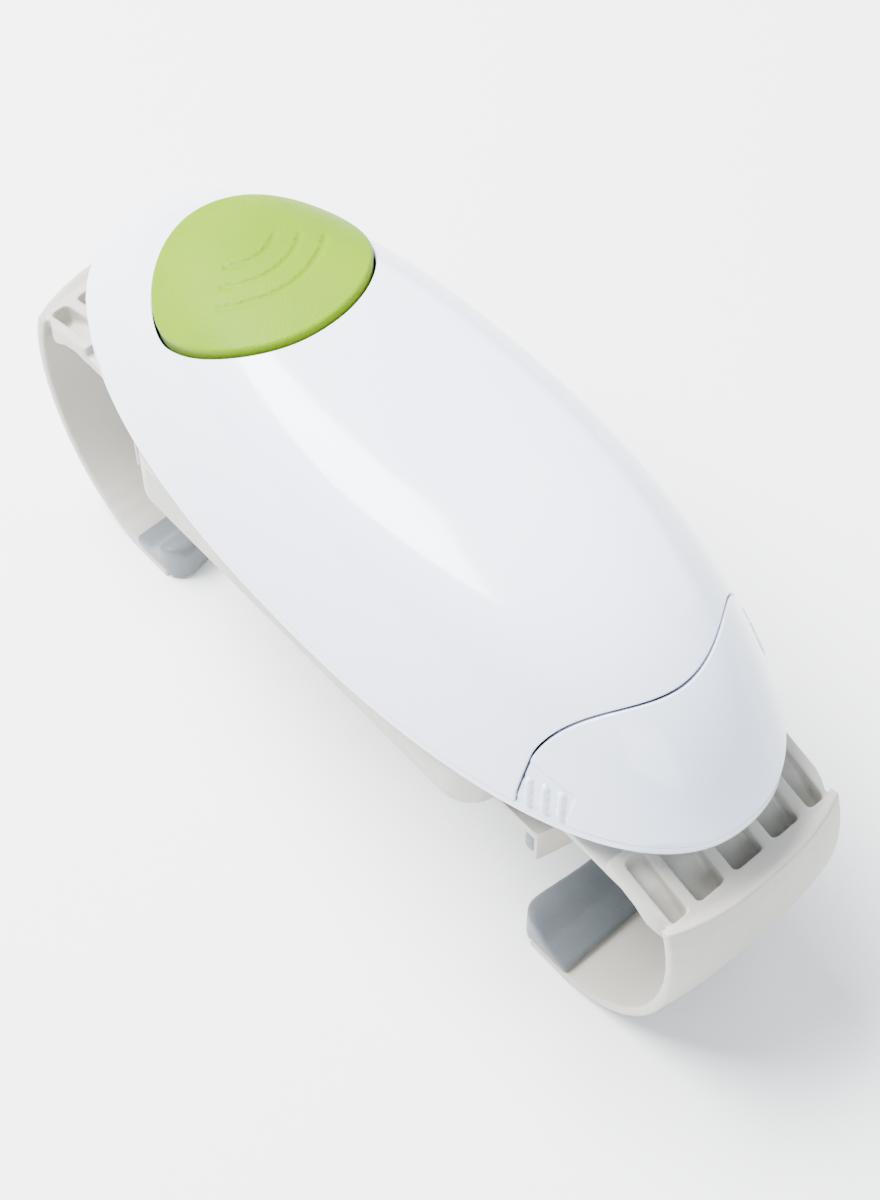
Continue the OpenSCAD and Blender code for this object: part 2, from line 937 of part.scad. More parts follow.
module jar_arm_right() { jar_arm(); }
module jar_arm_left() { rotate([0, 0, 180]) jar_arm(); }
module jar_pad_right() { jar_pad(); }
module jar_pad_left() { rotate([0, 0, 180]) jar_pad(); }
module lid_arm_right() { lid_arm(); }
module lid_arm_left() { rotate([0, 0, 180]) lid_arm(); }
module lid_pad_right() { lid_pad(); }
module lid_pad_left() { rotate([0, 0, 180]) lid_pad(); }

top_shell();
base_plate();
battery_door();
button();
button_spring();
tact_switch();
circuit_board();
board_screws();
motor_can();
motor_end_cap();
motor_terminals();
motor_shaft();
motor_pinion();
first_gear();
second_gear();
gear_axles();
gear_plate();
gear_plate_screws();
battery_box();
battery_left();
battery_right();
contact_springs();
contact_plates();
housing_screws();
chassis();
chassis_screws();
bearing_bush();
drive_gear();
spindle();
retaining_clip();
jar_pinion();
jar_clutch_washer();
jar_clutch_spring();
jar_arm_right();
jar_arm_left();
jar_pad_right();
jar_pad_left();
lid_carriage();
lid_cover();
lid_cover_screws();
lid_pinion();
lid_arm_right();
lid_arm_left();
lid_pad_right();
lid_pad_left();
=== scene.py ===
import json
import math

import bmesh
import bpy
import numpy as np
from mathutils import Matrix, Vector, geometry


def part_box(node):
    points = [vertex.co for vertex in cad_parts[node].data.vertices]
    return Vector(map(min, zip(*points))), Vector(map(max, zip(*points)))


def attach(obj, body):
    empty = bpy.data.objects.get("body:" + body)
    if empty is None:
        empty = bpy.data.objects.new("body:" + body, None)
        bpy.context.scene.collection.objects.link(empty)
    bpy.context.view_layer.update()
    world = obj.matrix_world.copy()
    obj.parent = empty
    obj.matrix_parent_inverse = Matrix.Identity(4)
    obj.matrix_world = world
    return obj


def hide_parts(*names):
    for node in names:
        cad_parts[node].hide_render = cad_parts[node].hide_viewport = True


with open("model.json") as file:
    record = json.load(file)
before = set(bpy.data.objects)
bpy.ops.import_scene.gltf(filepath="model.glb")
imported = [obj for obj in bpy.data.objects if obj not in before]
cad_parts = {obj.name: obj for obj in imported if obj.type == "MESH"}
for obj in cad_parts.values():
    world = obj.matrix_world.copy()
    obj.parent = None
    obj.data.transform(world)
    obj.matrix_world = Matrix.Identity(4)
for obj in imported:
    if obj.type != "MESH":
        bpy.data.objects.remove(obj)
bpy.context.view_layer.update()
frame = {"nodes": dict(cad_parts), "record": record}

MM = 0.001

# ---------------------------------------------------------------- camera
VIEW_AZIMUTH = 48.44
VIEW_ELEVATION = 58.29
VIEW_DISTANCE = 0.5549
VIEW_ACROSS = 0.0048
VIEW_UP = -0.0185
VIEW_PIVOT_Z = 0.07505
LENS = 82.33
SENSOR = 36
CLIP_START = 0.01


def view_axes():
    """Right, up and backward directions of the camera."""
    az, el = math.radians(VIEW_AZIMUTH), math.radians(VIEW_ELEVATION)
    back = Vector((math.sin(az) * math.cos(el), -math.cos(az) * math.cos(el), math.sin(el)))
    right = Vector((math.cos(az), math.sin(az), 0))
    return right, back.cross(right), back


def add_camera():
    """Camera at the viewing angle, aimed past the middle of the body."""
    right, up, back = view_axes()
    data = bpy.data.cameras.new("camera")
    data.lens = LENS
    data.sensor_width = SENSOR
    data.clip_start = CLIP_START
    camera = bpy.data.objects.new("camera", data)
    bpy.context.scene.collection.objects.link(camera)
    pivot = Vector((0, 0, VIEW_PIVOT_Z))
    place = right * VIEW_ACROSS + up * VIEW_UP + back * VIEW_DISTANCE + pivot
    camera.matrix_world = Matrix((
        (right.x, up.x, back.x, place.x),
        (right.y, up.y, back.y, place.y),
        (right.z, up.z, back.z, place.z),
        (0, 0, 0, 1)))
    bpy.context.scene.camera = camera


add_camera()

# ---------------------------------------------------------------- materials


class Nodes:
    """Short helper for building one procedural material."""

    def __init__(self, name):
        self.material = bpy.data.materials.new(name)
        self.material.use_nodes = True
        self.tree = self.material.node_tree
        self.shader = self.tree.nodes["Principled BSDF"]
        self.coords = self.add("ShaderNodeTexCoord").outputs["Object"]

    def add(self, kind, **values):
        node = self.tree.nodes.new(kind)
        for key, value in values.items():
            setattr(node, key, value)
        return node

    def link(self, source, target):
        self.tree.links.new(source, target)

    def set(self, **values):
        """Uniform values, set on the shader's own sockets."""
        for key, value in values.items():
            self.shader.inputs[key.replace("_", " ")].default_value = value

    def noise(self, scale, detail=3, roughness=0.5, stretch=None):
        node = self.add("ShaderNodeTexNoise")
        node.inputs["Scale"].default_value = scale
        node.inputs["Detail"].default_value = detail
        node.inputs["Roughness"].default_value = roughness
        self.link(self.stretched(stretch), node.inputs["Vector"])
        return node.outputs["Fac"]

    def voronoi(self, scale):
        node = self.add("ShaderNodeTexVoronoi", feature="F1")
        node.inputs["Scale"].default_value = scale
        self.link(self.coords, node.inputs["Vector"])
        return node.outputs["Distance"]

    def stretched(self, stretch):
        """Object coordinates, scaled along each axis if stretch is given."""
        if stretch is None:
            return self.coords
        node = self.add("ShaderNodeMapping")
        node.inputs["Scale"].default_value = stretch
        self.link(self.coords, node.inputs["Vector"])
        return node.outputs["Vector"]

    def ramp(self, source, low, high, start=0.3, end=0.7):
        """The source's range start to end, mapped to low to high."""
        node = self.add("ShaderNodeMapRange")
        limits = {"From Min": start, "From Max": end, "To Min": low, "To Max": high}
        for key, value in limits.items():
            node.inputs[key].default_value = value
        self.link(source, node.inputs["Value"])
        return node.outputs["Result"]

    def colour(self, source, low, high, start=0.3, end=0.7):
        node = self.add("ShaderNodeMix", data_type="RGBA")
        node.inputs["A"].default_value = (*low, 1)
        node.inputs["B"].default_value = (*high, 1)
        self.link(self.ramp(source, 0, 1, start, end), node.inputs["Factor"])
        self.link(node.outputs["Result"], self.shader.inputs["Base Color"])

    def roughness(self, source, low, high, start=0.3, end=0.7):
        self.link(self.ramp(source, low, high, start, end), self.shader.inputs["Roughness"])

    def bump(self, source, height, strength=1.0, under=None):
        node = self.add("ShaderNodeBump")
        node.inputs["Distance"].default_value = height
        node.inputs["Strength"].default_value = strength
        self.link(source, node.inputs["Height"])
        if under is not None:
            self.link(under, node.inputs["Normal"])
        self.link(node.outputs["Normal"], self.shader.inputs["Normal"])
        return node.outputs["Normal"]


def white_shell():
    n = Nodes("white_shell")
    n.set(Coat_Weight=0.25, Coat_Roughness=0.05, IOR=1.5)
    n.colour(n.noise(18, 4), (0.71, 0.765, 0.90), (0.74, 0.79, 0.91))
    n.roughness(n.noise(90, 5, 0.6), 0.13, 0.19)
    n.bump(n.noise(260, 2), 0.00003, 0.35)
    return n.material


def lime_button():
    n = Nodes("lime_button")
    n.set(IOR=1.46, Specular_IOR_Level=0.12)
    n.colour(n.noise(60, 4), (0.12, 0.22, 0.0), (0.14, 0.245, 0.0))
    n.roughness(n.voronoi(1500), 0.40, 0.52, 0.1, 0.6)
    fine = n.bump(n.voronoi(1350), 0.00012, 0.55)
    n.bump(n.noise(2400, 3), 0.00006, 0.4, fine)
    return n.material


def grey_arm():
    n = Nodes("grey_arm")
    n.set(IOR=1.46)
    n.colour(n.noise(25, 5), (0.40, 0.38, 0.335), (0.44, 0.42, 0.375))
    n.roughness(n.noise(400, 4, 0.6), 0.36, 0.48)
    fine = n.bump(n.noise(3000, 2), 0.00003, 0.5)
    n.bump(n.noise(45, 3), 0.0002, 0.25, fine)
    return n.material


def grey_rubber():
    n = Nodes("grey_rubber")
    n.set(IOR=1.5, Sheen_Weight=0.15, Sheen_Roughness=0.6)
    n.colour(n.noise(70, 5), (0.075, 0.088, 0.10), (0.095, 0.108, 0.12))
    n.roughness(n.noise(700, 4, 0.6), 0.48, 0.62)
    fine = n.bump(n.noise(2600, 3), 0.00005, 0.6)
    n.bump(n.noise(120, 3), 0.00015, 0.3, fine)
    return n.material


def steel():
    n = Nodes("steel")
    n.set(Metallic=1.0)
    n.colour(n.noise(120, 4), (0.52, 0.53, 0.55), (0.64, 0.65, 0.67))
    n.roughness(n.noise(500, 5, 0.7, (1, 1, 12)), 0.22, 0.42)
    n.bump(n.noise(900, 4, 0.6, (1, 1, 14)), 0.00003, 0.4)
    return n.material


def brass():
    n = Nodes("brass")
    n.set(Metallic=1.0)
    n.colour(n.noise(150, 4), (0.62, 0.43, 0.16), (0.74, 0.55, 0.25))
    n.roughness(n.noise(600, 4), 0.22, 0.4)
    n.bump(n.noise(1200, 3), 0.00002, 0.4)
    return n.material


def gear_nylon():
    n = Nodes("gear_nylon")
    n.set(IOR=1.5)
    n.colour(n.noise(80, 4), (0.74, 0.72, 0.63), (0.80, 0.78, 0.70))
    n.roughness(n.noise(500, 4), 0.34, 0.5)
    n.bump(n.noise(1500, 3), 0.00003, 0.4)
    return n.material


def board_green():
    n = Nodes("board_green")
    n.colour(n.noise(600, 2, 0.4), (0.012, 0.07, 0.03), (0.02, 0.12, 0.045), 0.48, 0.52)
    n.roughness(n.noise(300, 3), 0.25, 0.4)
    n.bump(n.noise(600, 2, 0.4), 0.00004, 0.6)
    return n.material


def dark_plastic():
    n = Nodes("dark_plastic")
    n.colour(n.noise(90, 4), (0.018, 0.018, 0.02), (0.03, 0.03, 0.033))
    n.roughness(n.noise(700, 4), 0.38, 0.55)
    n.bump(n.noise(1800, 3), 0.00003, 0.5)
    return n.material


def fibre():
    n = Nodes("fibre")
    n.colour(n.noise(900, 5, 0.7), (0.13, 0.06, 0.03), (0.26, 0.14, 0.07))
    n.roughness(n.noise(900, 5), 0.7, 0.9)
    n.bump(n.noise(1600, 5, 0.7), 0.00006, 0.7)
    return n.material


def cell_jacket():
    n = Nodes("cell_jacket")
    n.set(Coat_Weight=0.5, Coat_Roughness=0.1)
    n.colour(n.noise(40, 3), (0.018, 0.13, 0.075), (0.024, 0.16, 0.09))
    n.roughness(n.noise(400, 4), 0.2, 0.32)
    n.bump(n.noise(300, 2), 0.00003, 0.4)
    return n.material


def pale_floor():
    n = Nodes("pale_floor")
    n.set(IOR=1.3)
    n.colour(n.noise(6, 3), (0.93, 0.93, 0.93), (0.95, 0.95, 0.95))
    n.roughness(n.noise(30, 3), 0.8, 0.9)
    n.bump(n.noise(200, 3), 0.00002, 0.2)
    return n.material


MATERIALS = {make.__name__: make() for make in (
    white_shell, lime_button, grey_arm, grey_rubber, steel, brass, gear_nylon, board_green,
    dark_plastic, fibre, cell_jacket)}
RECORD = frame["record"]
SLOT_OF = {part["node"]: part["material_slot"] for part in RECORD["subparts"]}
BODY_OF = {node: body for body, nodes in RECORD["behaviour"]["bodies"].items() for node in nodes}


def paint_frame():
    """Every carried-over CAD node gets the procedural material of its slot."""
    for name, obj in frame["nodes"].items():
        obj.data.materials.clear()
        obj.data.materials.append(MATERIALS[SLOT_OF[name]])


paint_frame()

# ---------------------------------------------------------------- mesh helpers
WELD = 1e-6
FLAT_ANGLE = math.radians(1)
BEVEL_ANGLE = math.radians(40)


def adopt(obj, node):
    """The object stands for a CAD node and takes its body, slot and material."""
    obj.data.materials.clear()
    obj.data.materials.append(MATERIALS[SLOT_OF[node]])
    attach(obj, BODY_OF[node])
    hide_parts(node)


def mesh_object(name, verts, faces, normals=None):
    """A smooth-shaded object from points and faces, with its own normals if given."""
    mesh = bpy.data.meshes.new(name)
    mesh.from_pydata([tuple(v) for v in verts], [], [tuple(f) for f in faces])
    mesh.validate()
    mesh.shade_smooth()
    if normals is not None:
        mesh.normals_split_custom_set_from_vertices([tuple(n) for n in normals])
    obj = bpy.data.objects.new(name, mesh)
    bpy.context.scene.collection.objects.link(obj)
    return obj


def cad_copy(name, node):
    """A welded copy of a CAD node, to be worked into a finished skin."""
    bm = bmesh.new()
    bm.from_mesh(frame["nodes"][node].data)
    bmesh.ops.remove_doubles(bm, verts=bm.verts, dist=WELD)
    bmesh.ops.recalc_face_normals(bm, faces=bm.faces)
    mesh = bpy.data.meshes.new(name)
    bm.to_mesh(mesh)
    bm.free()
    obj = bpy.data.objects.new(name, mesh)
    bpy.context.scene.collection.objects.link(obj)
    return obj


def applied(obj):
    """Applies all modifiers of obj to its mesh."""
    graph = bpy.context.evaluated_depsgraph_get()
    mesh = bpy.data.meshes.new_from_object(obj.evaluated_get(graph))
    obj.modifiers.clear()
    obj.data = mesh


def moulded(name, node, voxel, rounds):
    """A CAD node as one moulding, its edges rounded by that many smoothing rounds."""
    obj = cad_copy(name, node)
    remesh = obj.modifiers.new("remesh", "REMESH")
    remesh.mode = "VOXEL"
    remesh.voxel_size = voxel
    relax = obj.modifiers.new("smooth", "SMOOTH")
    relax.factor = 0.5
    relax.iterations = rounds
    applied(obj)
    obj.data.shade_smooth()
    adopt(obj, node)


def softened(name, node, width):
    """A CAD node with small bevels along its sharp edges."""
    obj = cad_copy(name, node)
    flat = obj.modifiers.new("flat", "DECIMATE")
    flat.decimate_type = "DISSOLVE"
    flat.angle_limit = FLAT_ANGLE
    bevel = obj.modifiers.new("bevel", "BEVEL")
    bevel.width = width
    bevel.segments = 2
    bevel.limit_method = "ANGLE"
    bevel.angle_limit = BEVEL_ANGLE
    bevel.harden_normals = True
    applied(obj)
    obj.data.shade_smooth()
    adopt(obj, node)


# ---------------------------------------------------------------- the body's surface
WIDEST = 1.0013  # half width at the widest place, as a share of HALF_W
PLATE_LOW, PLATE_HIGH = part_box("base_plate")
BUTTON_LOW, BUTTON_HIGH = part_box("button")
SHELL_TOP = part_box("top_shell")[1].z
HALF_L = (PLATE_HIGH.x - PLATE_LOW.x) / 2
HALF_W = (PLATE_HIGH.y - PLATE_LOW.y) / 2 / WIDEST
RIM_Z = PLATE_LOW.z
PART_Z = RIM_Z + 4 * MM
DOME_BASE = RIM_Z + 5.8 * MM
DOME_H = SHELL_TOP - DOME_BASE
WALL = 2 * MM
SKIN_WALL = WALL * 0.9  # a little thinner than the CAD wall
OUTLINE_POWER = 0.9
TAPER = 0.035  # widening of the outline towards the door
DOME_POWER = 5.1
STEEP = 0.1  # share of the radius that the dome's steep edge takes up
SKIRT_LIFT = 0.15 * MM  # the skin ends this far above the parting line
PROBE = 0.15 * MM  # step used to measure the surface's slope


def outline(angles, inset=0.0):
    """Points of the body's plan outline: a superellipse that widens towards the door."""
    c, s = np.cos(angles), np.sin(angles)
    along = np.sign(c) * np.abs(c) ** OUTLINE_POWER
    across = np.sign(s) * np.abs(s) ** OUTLINE_POWER
    wide = (HALF_W - inset) * across * (1 + TAPER * along)
    return np.column_stack([(HALF_L - inset) * along, wide])


def polar_outline():
    """Outline radius against plan angle."""
    points = outline(np.linspace(-np.pi, np.pi, 2881))
    angles = np.arctan2(points[:, 1], points[:, 0])
    order = np.argsort(angles)
    return angles[order], np.linalg.norm(points, axis=1)[order]


RIM_ANGLE, RIM_REACH = polar_outline()


def radial(p):
    """1 on the body's outline and 0 at its centre."""
    reach = np.interp(np.arctan2(p[:, 1], p[:, 0]), RIM_ANGLE, RIM_REACH, period=2 * np.pi)
    return np.hypot(p[:, 0], p[:, 1]) / reach


def meridian():
    """Radius share, height and unrolled distance down the dome to the parting line."""
    steep = 1 - STEEP * (1 - np.linspace(0, 1, 161)[1:]) ** 2
    r = np.concatenate([np.linspace(0, 1 - STEEP, 180), steep])
    z = DOME_BASE + DOME_H * (1 - r ** DOME_POWER)
    drop = np.linspace(0, DOME_BASE - PART_Z - SKIRT_LIFT, 12)[1:]
    r = np.concatenate([r, np.ones(len(drop))])
    z = np.concatenate([z, DOME_BASE - drop])
    step = np.hypot(np.diff(r), np.diff(z) / HALF_W)
    return r, z, np.concatenate([[0], np.cumsum(step)])


MER_R, MER_Z, MER_S = meridian()


def unroll(p):
    """Plan points to the unrolled plane."""
    r = np.maximum(radial(p), 1e-9)
    return p * (np.interp(r, MER_R, MER_S) / r)[:, None]


def surface(q):
    """Unrolled points on the body's plain surface."""
    s = np.maximum(radial(q), 1e-9)
    r = np.interp(s, MER_S, MER_R)
    return np.column_stack([q * (r / s)[:, None], np.interp(s, MER_S, MER_Z)])


def normals(q, place):
    """Unit normals, at unrolled points, of the surface that place() gives."""
    dx, dy = np.array([PROBE, 0]), np.array([0, PROBE])
    n = np.cross(place(q + dx) - place(q - dx), place(q + dy) - place(q - dy))
    return n / np.linalg.norm(n, axis=1)[:, None]


def lift(q, offset=None):
    """Places and normals of unrolled points on the body's surface, which offset(place) moves
    along its normal."""
    def moved(points):
        at = surface(points)
        return at + normals(points, surface) * offset(at)[:, None]

    place = surface if offset is None else moved
    return place(q), normals(q, place)


def even_loop(points, spacing):
    """A closed loop resampled at an even spacing."""
    p = np.vstack([points, points[:1]])
    s = np.concatenate([[0], np.cumsum(np.linalg.norm(np.diff(p, axis=0), axis=1))])
    count = max(8, int(s[-1] / spacing))
    at = np.linspace(0, s[-1], count, endpoint=False)
    return np.column_stack([np.interp(at, s, p[:, 0]), np.interp(at, s, p[:, 1])])


def inside(points, loop):
    """Even-odd test of points against one closed loop."""
    x, y = points[:, 0][:, None], points[:, 1][:, None]
    x0, y0 = loop[:, 0][None], loop[:, 1][None]
    x1, y1 = np.roll(x0, -1), np.roll(y0, -1)
    with np.errstate(divide="ignore", invalid="ignore"):
        crossing = ((y0 > y) != (y1 > y)) & (x < (x1 - x0) * (y - y0) / (y1 - y0) + x0)
    return crossing.sum(1) % 2 == 1


def distance(points, loop):
    """Distance of points to the nearest point of a loop."""
    best = np.full(len(points), 1e9)
    for start in range(0, len(loop), 64):
        part = loop[start:start + 64]
        best = np.minimum(best, np.sqrt(((points[:, None] - part[None]) ** 2).sum(2)).min(1))
    return best


# Rounded edge of a skin: (outward, down) steps in mm, and how far it reaches past its loop
ROUND = ((0.12, 0.03), (0.24, 0.12), (0.32, 0.27), (0.35, 0.5))
ROUND_REACH = 0.35 * MM
MESH_SCALE = 1000.0  # the triangulation works in millimetres


def within(points, loops):
    """Test of points that lie inside the first loop and outside the others."""
    keep = inside(points, loops[0])
    for hole in loops[1:]:
        keep &= ~inside(points, hole)
    return keep


def staggered_grid(loops, spacing):
    """Evenly spread points between the loops, clear of the loops themselves."""
    low, high = loops[0].min(0), loops[0].max(0)
    xs, ys = np.arange(low[0], high[0], spacing), np.arange(low[1], high[1], spacing)
    grid = np.array([(x + (spacing / 2 if j % 2 else 0), y) for j, y in enumerate(ys) for x in xs])
    grid = grid[within(grid, loops)]
    for loop in loops:
        grid = grid[distance(grid, loop) > spacing * 0.55]
    return grid


def triangulated(loops, grid):
    """Points, triangles, and for each loop the numbers of its points."""
    points, edges, first = [], [], 0
    for loop in loops:
        n = len(loop)
        points.append(loop)
        edges += [(first + i, first + (i + 1) % n) for i in range(n)]
        first += n
    points = np.vstack(points + [grid])
    out = geometry.delaunay_2d_cdt([Vector(p * MESH_SCALE) for p in points], edges, [], 0, 1e-4)
    q = np.array([tuple(v) for v in out[0]]) / MESH_SCALE
    faces = np.array([f for f in out[2]])
    faces = faces[within(q[faces].mean(1), loops)]
    origin = {o: i for i, sources in enumerate(out[3]) for o in sources}
    rims, first = [], 0
    for loop in loops:
        rims.append(np.array([origin[first + i] for i in range(len(loop))]))
        first += len(loop)
    return q, faces, rims


def skin(name, loops, spacing, wall, edge=ROUND, offset=None, plumb=None, drop=0.0):
    """Closed shell over the body's surface. The first loop is its outline and the others are
    holes, all in the unrolled plane; edge lists (outward, down) steps in mm of the rounded edge.
    The wall of the loop numbered plumb runs straight down by drop, so it can slide in its hole."""
    loops = [even_loop(loop, spacing * 0.8) for loop in loops]
    q, faces, rims = triangulated(loops, staggered_grid(loops, spacing))
    place, normal = lift(q, offset)
    count = len(q)
    verts = [place, place - normal * wall]
    norms = [normal, -normal]
    tris = [faces, faces[:, ::-1] + count]
    total = 2 * count
    for number, (loop, ids) in enumerate(zip(loops, rims)):
        n = len(loop)
        turn = np.cross(loop, np.roll(loop, -1, axis=0)).sum()
        forward = 1 if (turn > 0) == (number == 0) else -1
        ids = ids[::forward]
        p, m = place[ids], normal[ids]
        tangent = np.roll(p, -1, axis=0) - np.roll(p, 1, axis=0)
        away = np.cross(tangent, m)
        away /= np.linalg.norm(away, axis=1)[:, None]
        before = ids
        for k, (out, down) in enumerate([*edge, (edge[-1][0], wall / MM)]):
            ring = np.arange(total, total + n)
            total += n
            at = p + away * out * MM - m * down * MM
            if number == plumb and k == len(edge):
                at = verts[-1] - np.array([0, 0, drop])
                verts[1][ids] = at
            verts.append(at)
            tilt = min(1.0, (k + 1) / len(edge)) * math.pi / 2
            norms.append(m * math.cos(tilt) + away * math.sin(tilt))
            tris.append(band_faces(before, ring))
            before = ring
        tris.append(band_faces(before, ids + count))
    return mesh_object(name, np.vstack(verts), np.vstack(tris), np.vstack(norms))


def band_faces(a, b):
    """Triangles between two closed rings of equal length."""
    a1, b1 = np.roll(a, -1), np.roll(b, -1)
    return np.vstack([np.column_stack([a, b, a1]), np.column_stack([b, b1, a1])])


# ---------------------------------------------------------------- seams and outlines
SEAM_X = 62.5 * MM  # where the seam meets the flanks
SEAM_BULGE = 12.5 * MM  # how far its middle reaches towards the door's end
SEAM_HALF = 26.6 * MM  # half width of the bulge
SEAM_GAP = 0.3 * MM
SEAM_POWER = 1.3
NEAR_RIM = 0.9995  # the seam's points stop here, and one more is put on the rim itself


def seam(y):
    """Plan position along X of the seam between shell and door."""
    inner = np.clip(np.cos(np.pi / 2 * np.clip(y / SEAM_HALF, -1, 1)), 0, 1)
    return SEAM_X + SEAM_BULGE * inner ** SEAM_POWER


def rim_point(angle):
    """Point of the outline at a plan angle, in the unrolled plane, on its last ring."""
    direction = np.column_stack([np.cos(angle), np.sin(angle)])
    return direction / radial(direction)[:, None] * MER_S[-1]


def rim_arc(start, end):
    """Points along the rim from one plan angle to another, without its two ends."""
    return rim_point(np.linspace(start, end, 500))[1:-1]


def seam_line(shift, up):
    """The seam across the dome in the unrolled plane, moved by shift towards the door. It runs
    from the near rim to the far one if up is true, and back otherwise."""
    y = np.linspace(-HALF_W, HALF_W, 400)
    plan = np.column_stack([seam(y) + shift, y])
    plan = plan[radial(plan) < NEAR_RIM]
    q = unroll(plan)
    ends = [q[0] * (MER_S[-1] / radial(q[:1])[0]), q[-1] * (MER_S[-1] / radial(q[-1:])[0])]
    line = np.vstack([ends[0], q, ends[1]])
    return line if up else line[::-1]


BUTTON_X = -47.8 * MM
BUTTON_GAP = 0.6 * MM
BACK_POWER = 1.8  # superellipse powers of the button's two ends
FRONT_POWER = 2.2


def button_loop(grow):
    """Egg-shaped plan of the button, in the unrolled plane."""
    t = np.linspace(0, 2 * np.pi, 240, endpoint=False)
    c, s = np.cos(t), np.sin(t)
    reach = np.where(c < 0, BUTTON_X - BUTTON_LOW.x, BUTTON_HIGH.x - BUTTON_X) + grow
    power = np.where(c < 0, BACK_POWER, FRONT_POWER)
    k = (np.abs(c) ** power + np.abs(s) ** power) ** (-1 / power)
    return unroll(np.column_stack([BUTTON_X + reach * c * k, (BUTTON_HIGH.y + grow) * s * k]))


def shell_loop():
    """Outline of the top shell: the seam, then the rim round the button's end."""
    line = seam_line(-ROUND_REACH, True)
    start = math.atan2(line[-1][1], line[-1][0])
    return np.vstack([line, rim_arc(start, 2 * math.pi - start)])


def door_loop():
    """Outline of the battery door: the seam, then the rim round the door's end."""
    line = seam_line(SEAM_GAP + ROUND_REACH, False)
    start = math.atan2(line[-1][1], line[-1][0])
    return np.vstack([line, rim_arc(start, -start)])


# ---------------------------------------------------------------- body pieces
def make_top_shell():
    """Top shell with the hole for the button."""
    loops = [shell_loop(), button_loop(BUTTON_GAP + ROUND_REACH)]
    obj = skin("shell_skin", loops, 1.5 * MM, SKIN_WALL, plumb=1, drop=WALL * 0.75)
    adopt(obj, "top_shell")


RIDGES = 3
RIDGE_FIRST = 65.3 * MM
RIDGE_STEP = 3.2 * MM
RIDGE_HALF = 0.75 * MM
RIDGE_LOW = PART_Z + 0.9 * MM
RIDGE_LENGTH = 7 * MM
RIDGE_LEAN = 0.22
RIDGE_HEIGHT = 0.85 * MM
RIDGE_SIDE = 18 * MM  # ridges and panel lie on the door's flanks, past this far from its middle
PANEL_SIDE = 20 * MM
PANEL_OUT = 73 * MM  # the panel ends here along X
PANEL_TOP = PART_Z + 12 * MM
PANEL_SLANT = 0.35  # its top edge falls by this much per unit of X
PANEL_DEPTH = 0.5 * MM
PANEL_EDGE = 0.5 * MM


def smooth_step(value, low, high):
    """0 below low, 1 above high and smooth between them."""
    t = np.clip((value - low) / (high - low), 0, 1)
    return t * t * (3 - 2 * t)


def door_relief(p):
    """Recessed thumb panel with three ridges on each side of the door."""
    x, y, z = p[:, 0], np.abs(p[:, 1]), p[:, 2]
    slant = z + PANEL_SLANT * (x - SEAM_X)
    panel = smooth_step(PANEL_OUT - x, 0, PANEL_EDGE) * smooth_step(PANEL_TOP - slant, 0, PANEL_EDGE)
    panel *= smooth_step(y, PANEL_SIDE, PANEL_SIDE + 1 * MM)
    panel *= smooth_step(z, PART_Z, PART_Z + PANEL_EDGE)
    middle = RIDGE_LOW + RIDGE_LENGTH / 2
    past = np.maximum(np.abs(z - middle) - RIDGE_LENGTH / 2 + RIDGE_HALF, 0) / RIDGE_HALF
    ridge = np.zeros(len(p))
    for k in range(RIDGES):
        off = (x - RIDGE_FIRST - k * RIDGE_STEP + RIDGE_LEAN * (z - RIDGE_LOW)) / RIDGE_HALF
        ridge = np.maximum(ridge, 1 - np.hypot(off, past) ** 2)
    side = smooth_step(y, RIDGE_SIDE, RIDGE_SIDE + 1 * MM)
    return np.sqrt(np.clip(ridge, 0, 1)) * side * RIDGE_HEIGHT - PANEL_DEPTH * panel


def make_door():
    """Battery door with its thumb panels."""
    obj = skin("door_skin", [door_loop()], 0.55 * MM, SKIN_WALL, offset=door_relief)
    adopt(obj, "battery_door")


BUTTON_PROUD = 1.2 * MM
BUTTON_WALL = 1.4 * MM
BUTTON_DROP = 2.4 * MM  # height of its upright side
BUTTON_INSET = 1.0 * MM  # the rounded edge grows outwards by as much
BUTTON_EDGE = ((0.30, 0.06), (0.58, 0.2), (0.8, 0.42), (0.95, 0.75), (1.0, 1.2))
GROOVE_DEPTH = 0.4 * MM
GROOVE_HALF = 0.9 * MM
GROOVE_RADII = (9, 14, 19)  # in mm
GROOVE_BACK = 8 * MM  # distance from the button's middle back to the arcs' centre
GROOVE_TURN = math.radians(48)  # half angle of the arcs
GROOVE_FADE = 0.06


def button_relief(p):
    """Crown of the button with three nested grip arcs pressed into it."""
    x, y = p[:, 0] - BUTTON_X + GROOVE_BACK, p[:, 1]
    reach = np.hypot(x, y)
    shown = np.clip((GROOVE_TURN - np.abs(np.arctan2(y, x))) / GROOVE_FADE, 0, 1)
    groove = np.zeros(len(p))
    for radius in GROOVE_RADII:
        dip = np.clip(1 - ((reach - radius * MM) / GROOVE_HALF) ** 2, 0, 1)
        groove = np.maximum(groove, dip * shown)
    return BUTTON_PROUD - GROOVE_DEPTH * groove


def make_button():
    """Start button, proud of the shell."""
    obj = skin("button_skin", [button_loop(-BUTTON_INSET)], 0.6 * MM, BUTTON_WALL, BUTTON_EDGE,
               button_relief, plumb=0, drop=BUTTON_DROP)
    adopt(obj, "button")


# Section of the lower rim, from its top ledge round the foot to the floor: (inset, height) in mm
RIM_SECTION = ((2.6, 3.9), (0.35, 3.9), (0.1, 3.75), (0, 3.4), (0, 1.9), (0.1, 1.3), (0.4, 0.75),
               (0.9, 0.3), (1.5, 0.06), (2.4, 0), (12, 0))
RIM_STEPS = 360


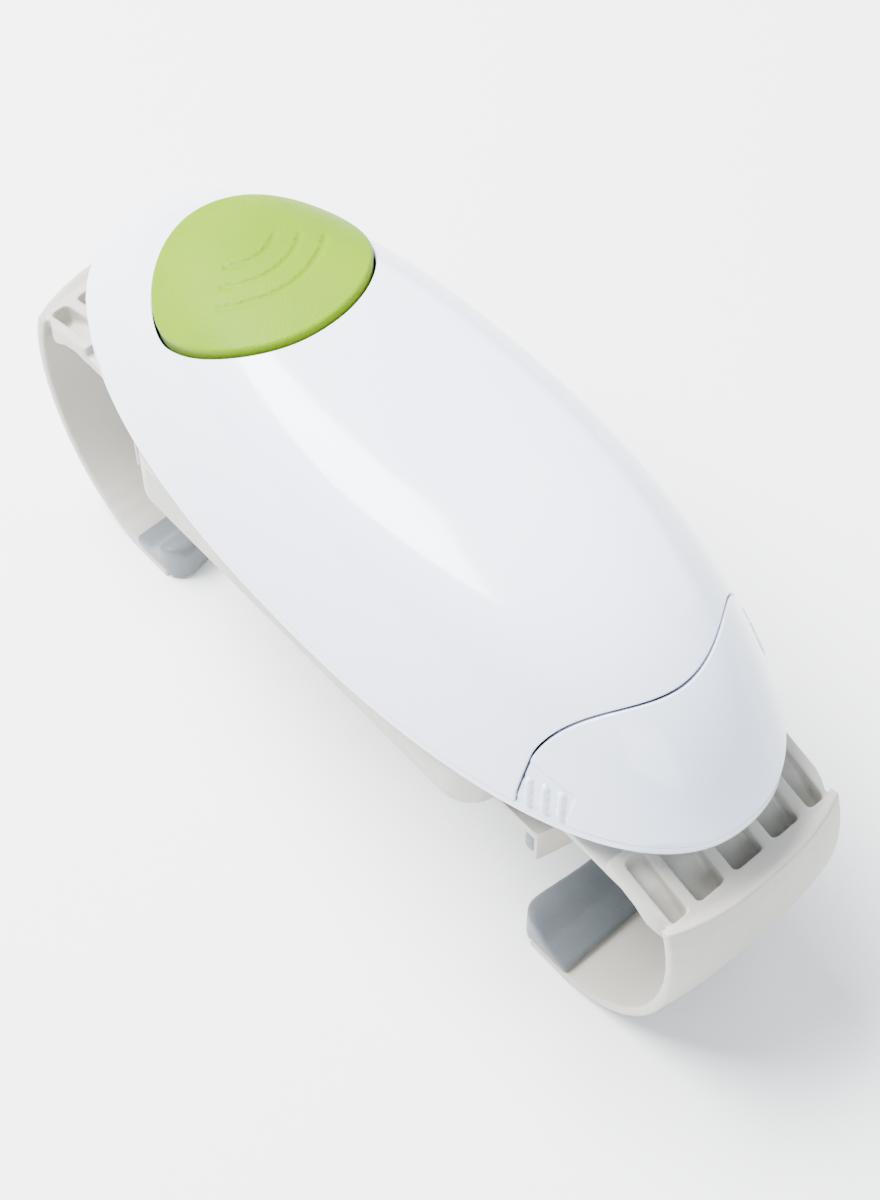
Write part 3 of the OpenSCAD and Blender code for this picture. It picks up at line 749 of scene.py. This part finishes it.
def make_rim():
    """Lower rim: a lofted band with a rounded foot and a flat floor."""
    angles = np.linspace(0, 2 * np.pi, RIM_STEPS, endpoint=False)
    verts, faces = [], []
    for inset, height in RIM_SECTION:
        level = np.full(RIM_STEPS, RIM_Z + height * MM)
        verts.append(np.column_stack([outline(angles, inset * MM), level]))
    rings = [np.arange(k * RIM_STEPS, (k + 1) * RIM_STEPS) for k in range(len(RIM_SECTION))]
    for a, b in zip(rings, rings[1:]):
        faces += [tuple(f) for f in band_faces(a, b)]
    faces.append(tuple(rings[-1]))
    faces.append(tuple(rings[0][::-1]))
    obj = mesh_object("rim_skin", np.vstack(verts), faces)
    obj.data.set_sharp_from_angle(angle=math.radians(50))
    adopt(obj, "base_plate")


make_top_shell()
make_door()
make_button()
make_rim()

# ---------------------------------------------------------------- arms, pads and clamp
for SIDE in ("right", "left"):
    moulded("jar_arm_skin_" + SIDE, "jar_arm_" + SIDE, 0.45 * MM, 6)
    moulded("jar_pad_skin_" + SIDE, "jar_pad_" + SIDE, 0.4 * MM, 50)
    softened("lid_arm_skin_" + SIDE, "lid_arm_" + SIDE, 0.4 * MM)
    moulded("lid_pad_skin_" + SIDE, "lid_pad_" + SIDE, 0.35 * MM, 15)
softened("chassis_skin", "chassis", 0.4 * MM)
softened("carriage_skin", "lid_carriage", 0.3 * MM)
softened("cover_skin", "lid_cover", 0.5 * MM)


# ---------------------------------------------------------------- stage and light
FLOOR_HALF = 3.0


def add_stage():
    """Plain floor under the feet."""
    mesh = bpy.data.meshes.new("floor")
    corners = [(FLOOR_HALF * x, FLOOR_HALF * y, 0) for x, y in ((-1, -1), (1, -1), (1, 1), (-1, 1))]
    mesh.from_pydata(corners, [], [(0, 1, 2, 3)])
    floor = bpy.data.objects.new("floor", mesh)
    bpy.context.scene.collection.objects.link(floor)
    mesh.materials.append(pale_floor())


def area_light(name, place, aim, size, power, tint=(1, 1, 1)):
    """A soft rectangular light at place, turned towards aim."""
    data = bpy.data.lights.new(name, "AREA")
    data.shape = "RECTANGLE"
    data.size, data.size_y = size
    data.energy = power
    data.color = tint
    light = bpy.data.objects.new(name, data)
    light.location = place
    light.rotation_euler = (Vector(aim) - Vector(place)).to_track_quat("-Z", "Y").to_euler()
    bpy.context.scene.collection.objects.link(light)


def add_lights():
    """Three softboxes and an even pale surround."""
    aim = (0, 0, 0.1)
    area_light("key_softbox", (-0.40, -0.20, 0.88), aim, (0.7, 0.5), 55)
    area_light("far_softbox", (-0.15, 0.75, 0.45), aim, (0.9, 0.4), 5, (0.96, 0.98, 1))
    area_light("end_softbox", (0.85, -0.45, 0.35), aim, (0.5, 0.4), 4, (0.9, 0.95, 1))
    world = bpy.data.worlds.new("studio")
    world.use_nodes = True
    background = world.node_tree.nodes["Background"]
    background.inputs["Color"].default_value = (0.80, 0.90, 1, 1)
    background.inputs["Strength"].default_value = 1.1
    bpy.context.scene.world = world


add_stage()
add_lights()
